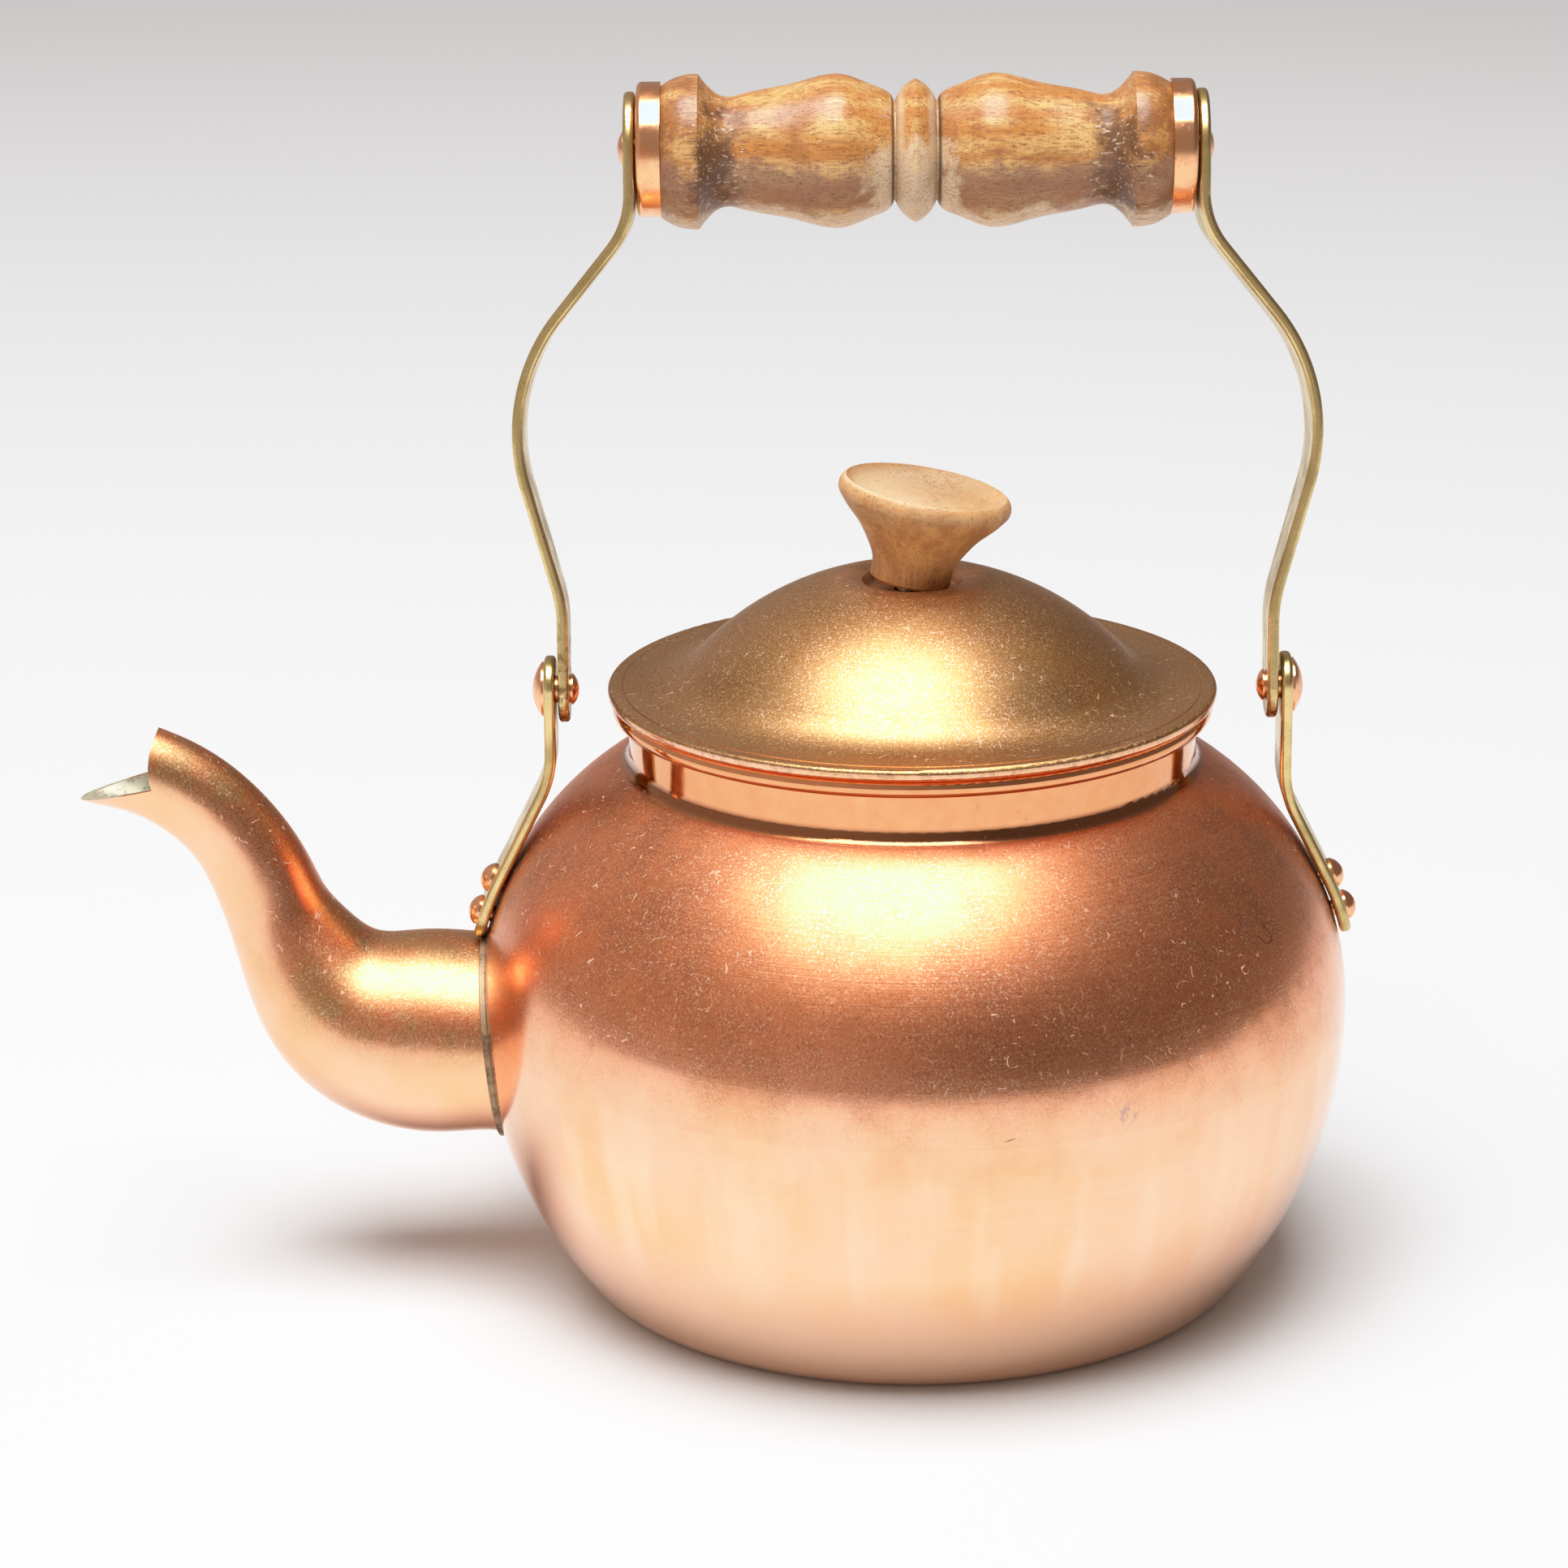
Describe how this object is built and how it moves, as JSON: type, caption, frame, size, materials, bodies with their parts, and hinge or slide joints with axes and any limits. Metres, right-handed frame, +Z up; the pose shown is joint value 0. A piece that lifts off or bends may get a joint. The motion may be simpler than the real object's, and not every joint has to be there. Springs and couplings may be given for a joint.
{
  "type": "kettle",
  "caption": "Round-bodied copper kettle with curved pouring spout, lift-off domed lid with wooden knob and swinging brass bail handle with turned wooden grip.",
  "frame": {"origin": "middle of the base, on the plane the kettle stands on, on the axis of the round body", "axes": "+Z up, spout towards -X, bail pivots along X, +Y completes the frame"},
  "size_m": [0.2342, 0.16, 0.2212],
  "materials": {
    "body_shell": "satin spun copper, tarnished gold-brown above, polished at the neck",
    "spout": "satin formed copper, tinned grey inside the tongue",
    "spout_seam": "dull solder bead",
    "spout_bracket": "worn satin brass with dark tarnish spots",
    "rear_bracket": "worn satin brass with dark tarnish spots",
    "spout_bracket_rivets": "polished copper rivet heads",
    "rear_bracket_rivets": "polished copper rivet heads",
    "spout_pivot_rivet": "polished copper rivet head",
    "rear_pivot_rivet": "polished copper rivet head",
    "spout_strap": "worn satin brass with dark tarnish near the pivot",
    "rear_strap": "worn satin brass with dark tarnish near the pivot",
    "handle_rod": "copper rod with peened ends",
    "grip": "old lacquered turned wood, bleached in the grooves, dark below",
    "spout_ferrule": "bright satin copper",
    "rear_ferrule": "bright satin copper",
    "lid_shell": "satin spun copper with olive-gold tarnish",
    "lid_ring": "plain copper hoop",
    "knob": "pale bare turned wood with fine dark pores",
    "knob_screw": "plain brass screw",
    "knob_washer": "plain brass washer"
  },
  "bodies": {
    "kettle": {"body_shell": "body_shell", "spout": "spout", "spout_seam": "spout_seam", "spout_bracket": "spout_bracket", "rear_bracket": "rear_bracket", "spout_bracket_rivets": "spout_bracket_rivets", "rear_bracket_rivets": "rear_bracket_rivets", "spout_pivot_rivet": "spout_pivot_rivet", "rear_pivot_rivet": "rear_pivot_rivet"},
    "bail": {"spout_strap": "spout_strap", "rear_strap": "rear_strap", "handle_rod": "handle_rod"},
    "grip": {"grip": "grip", "spout_ferrule": "spout_ferrule", "rear_ferrule": "rear_ferrule"},
    "lid": {"lid_shell": "lid_shell", "lid_ring": "lid_ring"},
    "knob": {"knob": "knob", "knob_screw": "knob_screw", "knob_washer": "knob_washer"}
  },
  "joints": [
    {"name": "bail_swing", "type": "hinge", "parent": "kettle", "child": "bail", "pos_m": [0.001, 0, 0.112], "axis": [1, 0, 0], "range_deg": [-101, 120]},
    {"name": "grip_turn", "type": "hinge", "parent": "bail", "child": "grip", "pos_m": [0.001, 0.01639, 0.20791], "axis": [1, 0, 0], "continuous": true},
    {"name": "lid_lift", "type": "slide", "parent": "kettle", "child": "lid", "axis": [0, 0, 1], "range_m": [0, 0.04]},
    {"name": "knob_turn", "type": "hinge", "parent": "lid", "child": "knob", "pos_m": [-0.0004, 0, 0.1321], "axis": [0.1736, 0, 0.9848], "continuous": true}
  ]
}
